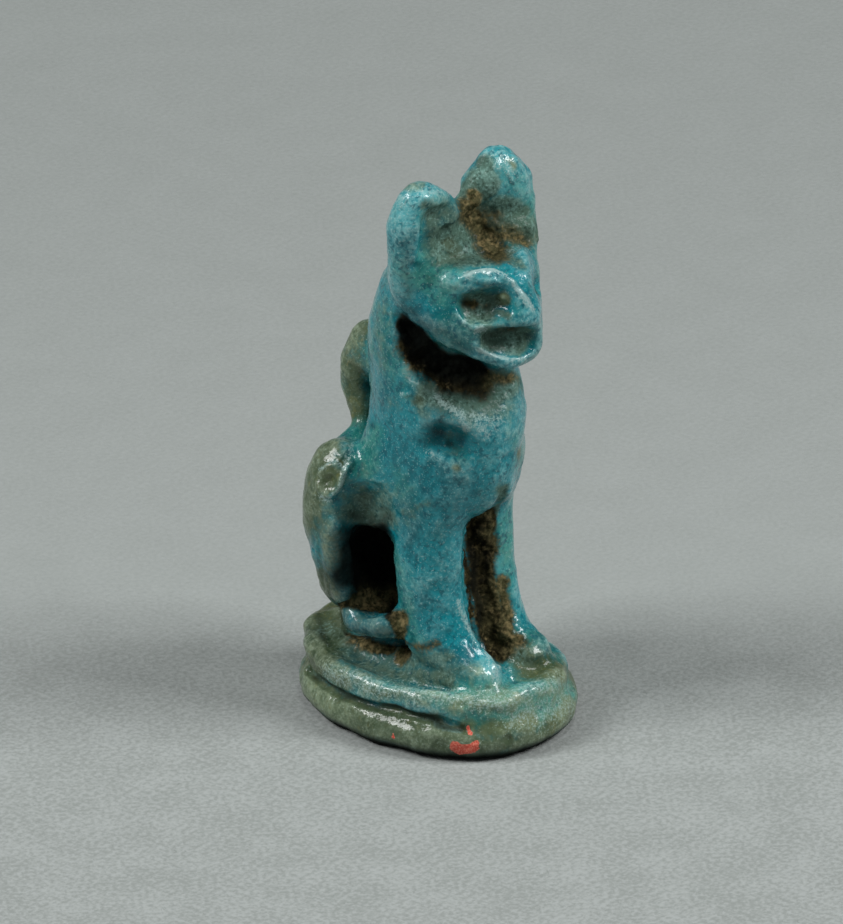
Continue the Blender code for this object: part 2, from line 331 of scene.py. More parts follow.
# Strokes: (line, width, height, taper). A positive height stands proud, a negative one is pressed in.
HEAD_STROKES = [
    # the brow's crest, from the temple over the eye to the nose, and the forehead that runs up to it
    ([(464, 278), (478, 272), (491, 272), (504, 277), (515, 284), (521, 292), (526, 301),
      (533, 310)], 0.20, 0.11, 0.3),
    ([(445, 270), (472, 262), (500, 262), (524, 276)], 0.45, 0.07, 0.3),
    # the hollow under the brow, then the lower lid
    ([(466, 305), (482, 304), (496, 302)], 0.54, -0.14, 0.0),
    ([(472, 315), (488, 314)], 0.40, -0.15, 0.0),
    ([(500, 314), (514, 312)], 0.30, -0.03, 0.0),
    ([(457, 312), (464, 322), (475, 328), (488, 325)], 0.14, 0.09, 0.3),
    # the bead of grit in the eye's inner corner
    ([(503, 297)], 0.26, 0.20, 0.0),
    # the mouth's scoop, the edge over it and the rim under it
    ([(489, 337), (508, 339), (527, 337)], 0.50, -0.12, 0.0),
    ([(500, 317), (528, 317)], 0.34, 0.04, 0.3),
    ([(476, 345), (488, 354), (503, 361), (517, 360), (533, 353)], 0.19, 0.13, 0.3),
    # the pit beside the nose
    ([(531, 304)], 0.12, -0.05, 0.0),
    # the throat, cut in under the jaw
    ([(398, 318), (404, 325), (425, 338), (450, 351), (475, 364), (492, 372)], 0.24, -0.16, 0.3),
    ([(410, 345), (430, 365), (460, 380)], 0.5, -0.12, 0.3),
    # the near ear: its lobe's edge, and its cup filled with matt crust
    ([(400, 200), (410, 188), (425, 184), (445, 194)], 0.30, 0.04, 0.4),
    ([(430, 224), (436, 215), (450, 213)], 0.42, 0.22, 0.2),
    ([(436, 219), (450, 216)], 0.34, 0.14, 0.0),
    ([(427, 222), (426, 240), (432, 256)], 0.36, 0.12, 0.0),
    ([(438, 232), (456, 236)], 0.75, 0.18, 0.0),
    # the far ear: its cup with the soil in it, a pit beside it, its shelf and its thick outer edge
    ([(486, 170), (484, 188), (480, 205)], 0.36, -0.07, 0.0),
    ([(494, 160)], 0.12, -0.06, 0.0),
    ([(466, 172), (461, 184), (458, 194)], 0.40, -0.13, 0.0),
    ([(475, 194), (477, 203)], 0.19, 0.16, 0.0),
    ([(496, 226), (512, 227), (526, 228)], 0.50, 0.22, 0.0),
    ([(508, 150), (516, 172), (518, 195)], 0.45, 0.04, 0.2),
    ([(484, 156), (492, 149), (502, 150)], 0.34, 0.11, 0.0),
    ([(517, 158), (525, 171), (530, 190)], 0.36, 0.12, 0.3),
    ([(497, 158), (499, 170)], 0.10, 0.04, 0.0),
    ([(508, 172), (512, 182)], 0.10, 0.04, 0.0),
]

BODY_STROKES = [
    # the dimple in the chest, the top of the gap between the forelegs, and the lip below the dimple
    ([(442, 438), (460, 442)], 0.62, -0.26, 0.0),
    ([(476, 518), (472, 532)], 0.34, -0.16, 0.0),
    ([(432, 453), (440, 459)], 0.20, 0.03, 0.0),
    # a pit and a chip on the chest's side
    ([(419, 403)], 0.20, -0.06, 0.0),
    ([(404, 395), (411, 393)], 0.12, 0.04, 0.0),
    # the flank, hollowed between the haunch and the shoulder, the soft arch over it and the haunch's edge
    ([(366, 500), (376, 504)], 0.90, -0.17, 0.0),
    ([(364, 517), (380, 518)], 0.50, -0.12, 0.0),
    ([(350, 487), (365, 479), (384, 483), (395, 500)], 0.16, 0.03, 0.3),
    ([(333, 528), (333, 560), (336, 592)], 0.50, 0.18, 0.2),
    ([(343, 530), (343, 560), (345, 594)], 0.45, 0.30, 0.0),
    # the haunch's ring with its pit, and the ridge that leaves it
    ([(329, 481)], 0.55, 0.05, 0.0),
    ([(329, 481)], 0.30, -0.22, 0.0),
    ([(320, 474), (326, 466), (336, 465), (341, 474), (339, 487), (331, 496), (321, 492),
      (318, 482)], 0.13, 0.07, 0.0),
    ([(340, 484), (345, 472), (352, 462)], 0.14, 0.10, 0.3),
    ([(336, 463), (346, 450)], 0.13, 0.05, 0.3),
    # the hind foot, and the soil that fills the gap under it
    ([(352, 620), (368, 623), (384, 626)], 0.50, 0.10, 0.3),
    ([(338, 616), (340, 636), (348, 654)], 0.60, 0.20, 0.0),
    ([(356, 642), (378, 645), (398, 640)], 0.45, 0.28, 0.3),
    ([(398, 614), (402, 652)], 0.34, 0.20, 0.0),
    # the crest that runs down the near foreleg, the toes, a pit in the paw and the far paw
    ([(462, 606), (466, 625), (474, 642), (488, 658)], 0.26, 0.10, 0.2),
    ([(497, 662), (497, 688)], 0.16, 0.07, 0.2),
    ([(494, 667), (510, 669)], 0.14, 0.06, 0.2),
    ([(514, 682)], 0.26, -0.10, 0.0),
    ([(530, 657), (545, 651)], 0.18, 0.06, 0.3),
]

PLINTH_STROKES = [
    # the upper tier's crest and the trough behind it, with two pits, then the crease and the lower tier
    ([(318, 660), (345, 673), (380, 685), (420, 694), (455, 697), (500, 705), (528, 691),
      (556, 686)], 0.32, 0.07, 0.3),
    ([(345, 655), (380, 664), (410, 670)], 0.45, -0.10, 0.3),
    ([(420, 674), (436, 678), (452, 681)], 0.36, 0.12, 0.3),
    ([(508, 739)], 0.20, -0.06, 0.0),
    ([(462, 705)], 0.12, -0.05, 0.0),
    ([(308, 670), (330, 688), (360, 702), (400, 712), (440, 721), (466, 730)], 0.20, -0.19, 0.2),
    ([(330, 703), (360, 716), (410, 732), (460, 738)], 0.28, 0.02, 0.3),
]

# The same on the side that the photograph doesn't show, given by lines on the seen side
FAR_STROKES = [
    ([(368, 500), (374, 514)], 0.70, -0.14, 0.0),
    ([(350, 617), (366, 622), (382, 624)], 0.46, 0.13, 0.3),
    ([(330, 478)], 0.45, 0.08, 0.0),
    ([(330, 478)], 0.28, -0.14, 0.0),
    ([(318, 660), (345, 673), (380, 685), (420, 694), (455, 697)], 0.30, 0.05, 0.3),
]


def rub(piece, marks, passes):
    """Smooths the surface along each line."""
    points = points_of(piece.data)
    share = np.zeros(len(points))
    for line, width in marks:
        share = np.maximum(share, stroke(points, line, width))
    smooth = relaxed(points, edges_of(piece.data), passes)
    put_points(piece.data, points + (smooth - points) * share[:, None])


def sculpt(piece):
    """Raises and presses in the strokes, and gives the whole surface its slight unevenness."""
    points = points_of(piece.data)
    normals = normals_of(piece.data)
    lift = np.zeros(len(points))
    for line, width, height, taper in HEAD_STROKES + BODY_STROKES + PLINTH_STROKES:
        lift += height * stroke(points, line, width, taper)
    for line, width, height, taper in FAR_STROKES:
        lift += height * stroke(points, line, width, taper, far_side=True)
    lift += sum(height * waves(points, size, seed) for height, size, seed in UNDULATIONS)
    points = points + normals * lift[:, None]
    points[:, 2] = np.maximum(points[:, 2], 0)
    put_points(piece.data, points)


def pits(piece):
    """Small pits scattered over the glaze."""
    points = points_of(piece.data)
    normals = normals_of(piece.data)
    draw = np.random.default_rng(PIT_SEED)
    lift = np.zeros(len(points))
    for k in draw.choice(len(points), PIT_COUNT, replace=False):
        if points[k, 2] < PIT_LOWEST:
            continue
        width = draw.uniform(*PIT_WIDTHS)
        near = np.linalg.norm(points - points[k], axis=1)
        lift -= falloff(near, width) * width * draw.uniform(*PIT_DEPTHS)
    put_points(piece.data, points + normals * lift[:, None])


# Where soil is packed: (line, width, strength). A mask's edge lies where it falls to about a half.
SOIL = [
    # the throat, under the jaw
    ([(402, 324), (424, 345), (450, 361), (482, 373)], 0.50, 1.3),
    ([(412, 344), (426, 364), (450, 377), (480, 380)], 0.90, 1.1),
    ([(488, 377), (510, 380)], 0.60, 0.75),
    # the eye, the mouth and a speck on the loop
    ([(463, 302), (474, 304)], 0.44, 0.85), ([(488, 307)], 0.36, 0.6),
    ([(496, 331), (514, 330)], 0.36, 0.65), ([(350, 362)], 0.22, 0.5),
    # the far ear's cup, and between the ears
    ([(475, 193), (476, 202)], 0.34, 1.2),
    ([(468, 211), (480, 222), (486, 238), (496, 254)], 0.78, 1.0),
    ([(484, 212), (494, 216)], 0.42, 0.7),
    ([(498, 234), (512, 236), (526, 241)], 0.66, 0.78),
    ([(490, 225), (500, 245)], 0.70, 0.8),
    ([(512, 256)], 0.40, 0.45),
    # the hollow under the flank, the hind foot's edge and the foot of the foreleg
    ([(380, 530), (378, 560), (380, 592)], 1.25, 1.2),
    ([(362, 545), (362, 590)], 0.75, 1.0),
    ([(350, 600), (388, 602)], 0.50, 1.1),
    ([(344, 604), (356, 607), (390, 608), (398, 604)], 0.30, 1.1),
    ([(352, 641), (370, 645), (392, 646)], 0.46, 1.1),
    ([(398, 604), (399, 616), (400, 632), (403, 656)], 0.40, 1.2),
    ([(402, 630), (405, 652)], 0.38, 1.0),
    ([(412, 646), (438, 645)], 0.38, 0.7),
    # between the forelegs
    ([(486, 514), (476, 522), (474, 545)], 0.50, 1.2),
    ([(488, 520), (482, 545)], 0.50, 1.2),
    ([(480, 545), (480, 575), (485, 610), (500, 645)], 0.85, 1.3),
    ([(502, 586), (508, 640)], 0.55, 1.0),
    ([(500, 645), (518, 639)], 0.50, 0.9),
]

# Where the soil is dry and pale
DRY = [
    # the ears and the throat
    ([(475, 193), (476, 202)], 0.42, 1.6),
    ([(468, 212), (484, 230), (496, 254)], 0.90, 0.7), ([(506, 232), (526, 241)], 0.80, 0.8),
    ([(484, 208), (506, 214)], 0.60, 0.5),
    ([(486, 378), (512, 382)], 0.60, 0.9),
    # between the legs and on the plinth
    ([(402, 618), (401, 655)], 0.50, 1.4),
    ([(499, 586), (504, 606)], 0.50, 1.5), ([(506, 612), (514, 648)], 0.60, 0.8),
    ([(492, 530), (494, 580)], 0.35, 0.5), ([(485, 516), (489, 534)], 0.40, 0.6),
    ([(480, 596), (492, 640)], 0.50, 0.4), ([(352, 643), (392, 646)], 0.50, 0.8),
    ([(352, 602), (392, 598)], 0.80, 0.8), ([(412, 646), (438, 645)], 0.50, 0.6),
    # the eye and the loop
    ([(466, 302), (490, 304)], 0.50, 0.4), ([(350, 362)], 0.30, 1.5),
]

# Where dark soil lies and shade is painted nearly black: the throat, the hollows, the eye, the mouth, the
# dimple, the creases and under the hind foot
DEEP_SOIL_AND_SHADE = [
    # the throat and the jaw's underside
    ([(404, 326), (424, 346), (450, 361), (476, 369)], 0.62, 1.25),
    ([(418, 354), (436, 368), (456, 375), (474, 376)], 0.70, 0.9),
    ([(430, 391), (460, 393), (482, 391)], 0.60, 0.42), ([(440, 402), (470, 404), (500, 398)], 0.80, 0.3),
    ([(408, 311), (424, 324), (444, 337), (462, 348)], 0.42, 0.45),
    # the near ear's cup and its root
    ([(470, 250)], 0.40, 0.25), ([(413, 261), (421, 265)], 0.25, 0.35),
    # the eye, and the mouth under the upper lip
    ([(496, 316), (506, 319)], 0.36, 0.45), ([(470, 312), (488, 311)], 0.40, 0.3),
    ([(484, 331), (505, 329), (526, 328)], 0.30, 0.42),
    # the hollow under the flank
    ([(382, 532), (380, 555), (382, 566)], 1.15, 1.3),
    ([(365, 536), (364, 565)], 0.85, 1.2),
    ([(357, 545), (356, 585)], 0.65, 0.9),
    ([(354, 528), (384, 529)], 0.50, 0.9),
    ([(350, 535), (350, 590)], 0.60, 0.6), ([(350, 545), (350, 574)], 1.20, 1.2),
    ([(341, 530), (341, 594)], 0.60, 0.55), ([(336, 580), (338, 598)], 0.40, 0.5),
    ([(352, 517), (386, 520)], 0.44, 0.6), ([(352, 506), (384, 510)], 0.60, 0.3),
    ([(392, 604), (394, 616)], 0.30, 0.7),
    # the dimple, the gap of the forelegs and the loop's inner side
    ([(438, 436), (461, 442)], 0.95, 0.66), ([(453, 441)], 0.50, 0.92),
    ([(472, 545), (473, 590), (482, 620)], 0.38, 0.7),
    ([(483, 540), (487, 580)], 0.40, 0.5),
    ([(482, 520), (475, 540)], 0.35, 0.6),
    ([(366, 384), (370, 425)], 0.42, 0.45),
    # the crease between the plinth's tiers, the plinth's top, and under the hind foot
    ([(314, 678), (345, 696), (380, 708), (420, 717), (464, 728)], 0.26, 0.7),
    ([(350, 660), (385, 668), (405, 670)], 0.60, 0.2),
    ([(352, 628), (368, 632), (386, 634)], 0.50, 0.45), ([(352, 639), (385, 640)], 0.28, 0.6),
]

# Where a matt crust covers the glaze
STAIN = [
    # the chest under the throat
    ([(426, 393), (450, 398), (480, 398), (508, 392)], 0.80, 1.1),
    ([(444, 404), (470, 411), (498, 408)], 0.95, 0.75),
    ([(500, 376), (516, 384)], 0.80, 0.9),
    ([(415, 400), (424, 412)], 0.45, 0.7),
    # the near ear's cup
    ([(434, 212), (435, 235), (440, 254)], 0.74, 0.95),
    ([(446, 216), (452, 240), (458, 256)], 0.90, 0.95),
    ([(462, 222), (470, 250)], 0.80, 1.1),
    ([(430, 205), (440, 207)], 0.36, 0.8),
    ([(440, 262), (470, 261), (495, 259)], 0.50, 0.9),
    # the far ear's cup
    ([(483, 166), (488, 184), (476, 196)], 0.64, 1.3),
    ([(472, 178), (466, 200)], 0.62, 1.1),
    ([(492, 194)], 0.45, 0.8),
    ([(468, 214), (500, 209), (518, 213)], 0.70, 1.2),
    ([(470, 235), (500, 230), (526, 233)], 0.90, 1.2),
    ([(485, 252), (505, 252)], 0.60, 1.1),
    ([(500, 258), (516, 259)], 0.45, 0.8), ([(478, 260), (500, 260), (522, 264)], 0.36, 0.75),
    # the eye and the mouth
    ([(468, 303), (480, 301), (487, 303)], 0.74, 1.2),
    ([(471, 315), (488, 314)], 0.54, 1.1), ([(496, 312), (506, 315)], 0.30, 0.8),
    ([(489, 337), (504, 340), (517, 339)], 0.80, 1.2),
    ([(520, 334), (527, 334)], 0.50, 0.9),
    # the flank and the hollow under it
    ([(352, 502), (384, 503)], 1.20, 0.62),
    ([(350, 516), (386, 519)], 0.80, 0.9),
    ([(365, 462), (366, 480)], 0.55, 0.45),
    # the dimple's lip and the top of the gap between the forelegs
    ([(448, 453), (458, 450)], 0.30, 0.6),
    ([(502, 488), (494, 512)], 0.40, 0.9),
    # the plinth
    ([(348, 652), (400, 660), (445, 660)], 0.75, 0.65),
    ([(360, 664), (400, 674), (450, 680)], 0.60, 0.75),
    ([(356, 620), (384, 628)], 0.60, 0.5),
    ([(345, 640), (325, 630)], 0.60, 0.6),
    ([(515, 648), (528, 662)], 0.50, 0.7),
    ([(310, 668), (330, 688), (360, 702), (400, 713), (440, 722), (462, 730)], 0.18, 1.3),
]

# Where the glaze has turned olive
OLIVE = [
    # the back, the haunch and the plinth behind the hind foot
    ([(320, 450), (306, 500), (310, 550), (322, 588)], 1.20, 1.1),
    ([(328, 480)], 0.80, 1.1), ([(340, 460)], 0.60, 0.8),
    ([(325, 520), (328, 580)], 0.80, 0.65), ([(328, 610), (312, 650)], 1.80, 1.4),
    # the loop
    ([(356, 326), (347, 350), (350, 385), (354, 406)], 0.95, 1.0),
    # the plinth
    ([(306, 692), (340, 716), (380, 732), (430, 746), (475, 752)], 0.95, 1.6),
    ([(302, 680), (320, 700), (360, 714), (400, 725), (440, 731), (465, 738)], 0.65, 1.5),
    ([(490, 749), (537, 740), (570, 710)], 0.85, 1.0), ([(520, 722), (556, 708)], 0.90, 0.5),
    ([(572, 676), (578, 700)], 0.90, 1.3),
    ([(345, 658), (400, 672), (450, 680)], 0.85, 0.45), ([(452, 666), (474, 672)], 0.60, 0.5),
    ([(322, 672), (345, 682)], 0.60, 0.8),
    ([(530, 668), (562, 672)], 0.80, 1.1),
    ([(480, 732), (530, 724)], 0.75, 0.9),
    ([(318, 664), (345, 672)], 0.60, 0.7),
    ([(330, 674), (380, 690), (455, 702), (520, 700), (560, 692)], 0.80, 0.62),
    ([(468, 726), (484, 730)], 0.50, 0.8),
    ([(525, 655), (560, 668)], 0.80, 0.8),
    ([(508, 739)], 0.35, 1.4),
    # the flank, the bead in the eye's corner, and spots on the chest, the back and the ears
    ([(366, 500)], 1.00, 0.5),
    ([(502, 298)], 0.40, 1.7),
    ([(458, 467)], 0.25, 0.8),
    ([(519, 455)], 0.35, 0.8),
    ([(418, 403)], 0.40, 0.9),
    ([(408, 515), (430, 508)], 0.50, 0.4),
    ([(510, 160), (516, 168)], 0.25, 0.7),
    ([(388, 285), (380, 330), (385, 400)], 0.70, 0.3),
    ([(407, 187), (416, 184)], 0.35, 0.8),
    ([(445, 244), (456, 252)], 0.35, 1.0),
]

# Where the glaze is lighter, or darker where the strength is negative; these add up. The light strokes on
# the upper tier's crest and its front, and on the paw's front, are painted highlight.
TONES = [
    ([(425, 280), (448, 288)], 0.90, 0.35), ([(402, 275), (402, 290)], 0.90, 0.4),
    ([(412, 262), (420, 266)], 0.35, -0.5),
    ([(400, 205), (425, 195)], 0.90, 0.3), ([(404, 215), (406, 235)], 0.60, 0.2),
    ([(500, 160), (520, 190)], 1.10, 0.35),
    ([(385, 330), (385, 400)], 1.20, -0.15), ([(400, 455), (402, 480)], 1.10, -0.3),
    ([(450, 470), (445, 510)], 1.00, -0.15),
    ([(490, 455), (500, 470)], 0.90, 0.2), ([(440, 320), (470, 345)], 0.70, -0.35),
    ([(504, 520), (508, 610)], 0.70, 0.35),
    ([(405, 305), (430, 322)], 0.70, -0.4), ([(350, 620), (385, 626)], 0.80, -0.5),
    ([(530, 650), (545, 655)], 0.60, -0.3),
    ([(345, 655), (400, 664), (460, 668)], 0.80, -0.2), ([(430, 272), (500, 262)], 0.60, 0.1),
    # the second stroke here is a painted highlight on the paw's front
    ([(352, 620), (386, 627)], 0.60, -0.4), ([(480, 662), (500, 690)], 0.70, 0.45),
    ([(503, 297)], 0.30, 0.9),
    ([(408, 512), (414, 530)], 0.70, -0.35), ([(430, 540), (432, 585)], 0.90, 0.15),
    ([(424, 600)], 0.50, -0.3),
    ([(312, 632), (322, 645)], 0.90, -0.4), ([(330, 575), (336, 592)], 0.60, -0.4),
    # painted highlight along the upper tier's crest, here and on its front below
    ([(435, 692), (462, 698)], 0.70, 0.4),
    ([(462, 652), (474, 662)], 0.45, -0.5), ([(310, 690), (345, 708)], 0.70, 0.35),
    ([(545, 705), (568, 695)], 0.70, 0.3),
    ([(500, 695), (540, 700), (560, 690)], 0.90, 0.4), ([(515, 718), (550, 715)], 0.80, 0.4),
    ([(345, 335), (352, 345)], 0.50, 0.4),
]

# Where the glaze is greener, or bluer where the strength is negative; these add up
GREENS = [
    ([(385, 330), (390, 410)], 1.10, 0.15), ([(520, 345), (500, 320)], 1.00, 0.2),
    ([(505, 520), (508, 600)], 0.80, 0.3),
    ([(318, 662), (380, 690), (455, 702), (520, 700), (560, 692)], 1.00, 0.6),
    ([(500, 160), (520, 190)], 1.20, 0.3), ([(520, 640), (545, 655)], 0.80, 0.5),
    ([(490, 722), (530, 716), (562, 700)], 1.10, 0.7),
    ([(376, 430), (366, 465)], 0.70, 0.5), ([(405, 235), (408, 262)], 0.80, -0.2),
    ([(415, 430), (440, 500), (445, 540)], 1.10, -0.5), ([(430, 550), (440, 620)], 1.00, -0.6),
    ([(490, 440), (498, 475)], 0.90, -0.4), ([(380, 695), (460, 712)], 0.50, -0.3),
]

# Pale, scratched or worn glaze on the chest, and painted highlights on the haunch's ring, the crests, the
# rims, the paw and the ears
SCUFF_AND_HIGHLIGHT = [
    # the chest's scuffs, and a painted highlight round the haunch's ring
    ([(438, 396), (446, 406), (460, 418), (468, 428)], 0.26, 1.0),
    ([(472, 414), (484, 426), (488, 436)], 0.30, 0.75), ([(484, 418), (500, 424)], 0.40, 0.6),
    ([(409, 378), (414, 382)], 0.13, 1.1),
    ([(402, 396), (412, 393)], 0.11, 1.1),
    ([(432, 452), (440, 460)], 0.20, 0.6),
    ([(321, 468), (330, 462), (339, 465), (343, 477), (340, 490), (332, 498), (322, 494)], 0.16, 0.9),
    ([(343, 470), (348, 458), (350, 446)], 0.14, 0.8),
    # painted highlights on the plinth's rims and on the paw
    ([(328, 673), (380, 686), (440, 694), (500, 702)], 0.60, 0.62),
    ([(500, 702), (520, 694), (560, 684)], 0.60, 0.5), ([(512, 716), (548, 714), (566, 704)], 0.80, 0.55),
    ([(496, 664), (497, 690)], 0.26, 0.8), ([(488, 668), (508, 670)], 0.30, 0.5),
    # painted highlights on the ears, and pale glaze on the forehead
    ([(400, 196), (404, 206)], 0.36, 0.45), ([(418, 188), (440, 194)], 0.34, 0.5),
    ([(496, 154), (500, 168)], 0.24, 0.6), ([(504, 158), (512, 182)], 0.30, 0.6),
    ([(506, 252), (530, 251)], 0.26, 0.5),
    # painted highlights on the brow, the lower lid and the lower lip
    ([(466, 276), (480, 272), (504, 277)], 0.16, 1.5),
    ([(512, 281), (520, 291), (524, 298), (534, 310)], 0.15, 1.4),
    ([(462, 322)], 0.12, 1.4), ([(475, 328), (485, 326)], 0.10, 1.3),
    ([(478, 348), (490, 355), (506, 361)], 0.15, 1.6), ([(510, 361), (530, 355)], 0.13, 1.1),
    # painted highlights on the near foreleg's crest and on its paw
    ([(459, 603), (466, 622), (478, 645), (489, 659)], 0.15, 1.1),
    ([(494, 664), (500, 692)], 0.50, 0.5),
]

# Flecks of red paint on the lower tier
PAINT = [
    ([(453, 747), (463, 751), (473, 748)], 0.27, 1.3), ([(475, 742)], 0.18, 1.0),
    ([(472, 733), (471, 727)], 0.13, 0.9),
    ([(395, 735)], 0.14, 0.9),
]

# Marks on the side that the photograph doesn't show, given by lines or places on the seen side
FAR_SOIL = [
    ([(402, 322), (424, 345), (450, 362)], 0.55, 1.3), ([(378, 535), (376, 560), (378, 590)], 1.0, 1.5),
    ([(358, 545), (360, 580)], 0.7, 1.3), ([(352, 604), (385, 606)], 0.35, 1.0),
    ([(348, 643), (372, 648)], 0.3, 0.8), ([(480, 524), (478, 575), (484, 610), (496, 642)], 0.5, 1.4),
    # the eye and the cheek, by places in millimetres
    ([(-1.15, -3.0, 14.2)], 0.42, 0.9), ([(-1.1, -2.9, 13.0)], 0.40, 0.9),
]
FAR_SOIL_AND_SHADE = [([(404, 330), (424, 350)], 0.45, 0.9), ([(376, 535), (374, 575)], 1.0, 1.3)]
FAR_STAIN = [([(405, 350), (425, 380)], 0.6, 0.8), ([(345, 535), (345, 590)], 0.6, 0.8)]
FAR_OLIVE = [
    ([(318, 450), (308, 500), (316, 550)], 1.0, 0.8),
    ([(310, 690), (340, 712), (380, 730), (430, 745)], 0.6, 1.1),
    ([(352, 328), (348, 360), (352, 400)], 0.8, 0.9),
]

# Each mask's marks, on the seen side and on the far side
MASKS = {
    "soil": (SOIL, FAR_SOIL),
    "dry": (DRY, []),
    "soil_and_shade": (DEEP_SOIL_AND_SHADE, FAR_SOIL_AND_SHADE),
    "stain": (STAIN, FAR_STAIN),
    "olive": (OLIVE, FAR_OLIVE),
    "scuff_and_highlight": (SCUFF_AND_HIGHLIGHT, []),
    "paint": (PAINT, []),
}


def ragged(points):
    """The points moved about a little at random, so that what is measured from them has uneven edges."""
    moved = points.copy()
    for axis in range(3):
        moved[:, axis] += sum(far * waves(points, size, seed + axis) for far, size, seed in RAGGED)
    return moved


def flattened(points):
    """The points without most of their depth along the view, so that a mark keeps its outline as seen."""
    return points - DEPTH_CUT * np.outer(points @ np.array(BACK), np.array(BACK))


def patches(points, marks, far_side=False):
    """How much of each mark every ragged point gets, one mark at a time."""
    if not far_side:
        points = flattened(points)
    for line, width, strength in marks:
        spots = np.array(places(line, far_side))
        if not far_side:
            spots = flattened(spots)
        yield strength * falloff(way_to(points, list(spots))[0], width)


def mask_of(points, marks, far):
    """The strongest of the marks at each ragged point."""
    found = np.zeros(len(points))
    for patch in patches(points, marks):
        found = np.maximum(found, patch)
    for patch in patches(points, far, far_side=True):
        found = np.maximum(found, patch)
    return found


def give(mesh, name, values):
    layer = mesh.attributes.new(name, "FLOAT", "POINT")
    layer.data.foreach_set("value", values.astype(np.float32))


def hollowness(mesh, passes):
    """How far each vertex lies below the surface's own smoothed level, in millimetres."""
    points = points_of(mesh)
    level = relaxed(points, edges_of(mesh), passes)
    return np.einsum("ij,ij->i", level - points, normals_of(mesh))


def dress(piece):
    """Crumbles the soil, then thins the mesh and writes the masks that the glaze reads."""
    points = points_of(piece.data)
    soil = np.clip(mask_of(ragged(points), SOIL, FAR_SOIL), 0, 1)
    rough = np.flatnonzero(soil > SOIL_THINNEST)
    lift = np.zeros(len(points))
    rise = sum(height * crumbs(points[rough], size, seed) for height, size, seed in CRUMBS)
    height, size, seed = SOIL_SWELL
    rise = rise + height * waves(points[rough], size, seed) - SOIL_SUNK
    lift[rough] = soil[rough] * rise
    put_points(piece.data, points + normals_of(piece.data) * lift[:, None])
    thin = piece.modifiers.new("thin", "DECIMATE")
    triangles = sum(len(p.vertices) - 2 for p in piece.data.polygons)
    thin.ratio = min(1.0, SKIN_TRIANGLES / triangles)
    apply_modifiers(piece)
    mesh = piece.data
    points = points_of(mesh)
    points[:, 2] = np.maximum(points[:, 2], 0)
    put_points(mesh, points)
    mesh.shade_smooth()
    uneven = ragged(points)
    for name, (marks, far) in MASKS.items():
        mask = mask_of(uneven, marks, far)
        if name in FOOT_DIRT_AND_SHADE:
            strength, height, most = FOOT_DIRT_AND_SHADE[name]
            mask = np.maximum(mask, np.clip(strength - points[:, 2] / height, 0, most))
        give(mesh, name, mask)
    give(mesh, "tone", sum(patches(uneven, TONES)))
    give(mesh, "green", sum(patches(uneven, GREENS)))
    give(mesh, "hollow", hollowness(mesh, HOLLOW_PASSES))


rub(piece, RUBBED, RUB_PASSES)
rub(piece, EVENED, EVEN_PASSES)
sculpt(piece)
pits(piece)
dress(piece)


def srgb(red, green, blue):
    """A colour as read off a screen, 0 to 255, as the linear values that a shader takes."""
    def linear(value):
        value /= 255
        return value / 12.92 if value <= 0.04045 else ((value + 0.055) / 1.055) ** 2.4
    return linear(red), linear(green), linear(blue), 1.0


class Nodes:
    """A material's node tree, with a short call for each kind of node that the finishes use."""

    def __init__(self, name):
        self.material = bpy.data.materials.new(name)
        self.material.use_nodes = True
        self.tree = self.material.node_tree
        self.shader = self.tree.nodes["Principled BSDF"]
        self.place = self.add("ShaderNodeTexCoord").outputs["Object"]

    def add(self, kind, **settings):
        node = self.tree.nodes.new(kind)
        for name, value in settings.items():
            setattr(node, name, value)
        return node

    def feed(self, socket, value):
        if isinstance(value, bpy.types.NodeSocket):
            self.tree.links.new(value, socket)
        else:
            socket.default_value = value

    def noise(self, size, detail, roughness, distortion):
        """Cloudy noise, 0 to 1, whose lumps are about this many millimetres across."""
        node = self.add("ShaderNodeTexNoise")
        self.feed(node.inputs["Vector"], self.place)
        self.feed(node.inputs["Scale"], 1 / (size * MM))
        self.feed(node.inputs["Detail"], detail)
        self.feed(node.inputs["Roughness"], roughness)
        self.feed(node.inputs["Distortion"], distortion)
        return node.outputs["Fac"]

    def attribute(self, name):
        return self.add("ShaderNodeAttribute", attribute_name=name).outputs["Fac"]

    def math(self, operation, a, b=0.0, clamp=False):
        node = self.add("ShaderNodeMath", operation=operation, use_clamp=clamp)
        self.feed(node.inputs[0], a)
        self.feed(node.inputs[1], b)
        return node.outputs[0]

    def total(self, *terms):
        found = terms[0]
        for term in terms[1:]:
            found = self.math("ADD", found, term)
        return found

    def ramp(self, value, low, high, start=0.0, end=1.0):
        """The value taken smoothly from low..high to start..end."""
        node = self.add("ShaderNodeMapRange", interpolation_type="SMOOTHSTEP")
        for socket, number in zip(node.inputs, (value, low, high, start, end)):
            self.feed(socket, number)
        return node.outputs["Result"]

    def mix(self, share, first, second):
        node = self.add("ShaderNodeMix", data_type="RGBA")
        self.feed(node.inputs["Factor"], share)
        self.feed(node.inputs[6], first)
        self.feed(node.inputs[7], second)
        return node.outputs[2]

    def cover(self, colour, share, most, top):
        """The colour with another over it, whose share is the given one times its most."""
        return self.mix(self.math("MULTIPLY", share, most), colour, top)

    def blend(self, share, first, second):
        """A number between two others."""
        node = self.add("ShaderNodeMix", data_type="FLOAT")
        self.feed(node.inputs[0], share)
        self.feed(node.inputs[2], first)
        self.feed(node.inputs[3], second)
        return node.outputs[0]

    def bump(self, height, depth, strength, normal=None):
        """Tilts the surface as if it had this height, 0 to 1, times the depth in millimetres."""
        node = self.add("ShaderNodeBump")
        self.feed(node.inputs["Strength"], strength)
        self.feed(node.inputs["Distance"], depth * MM)
        self.feed(node.inputs["Height"], height)
        if normal is not None:
            self.feed(node.inputs["Normal"], normal)
        return node.outputs["Normal"]


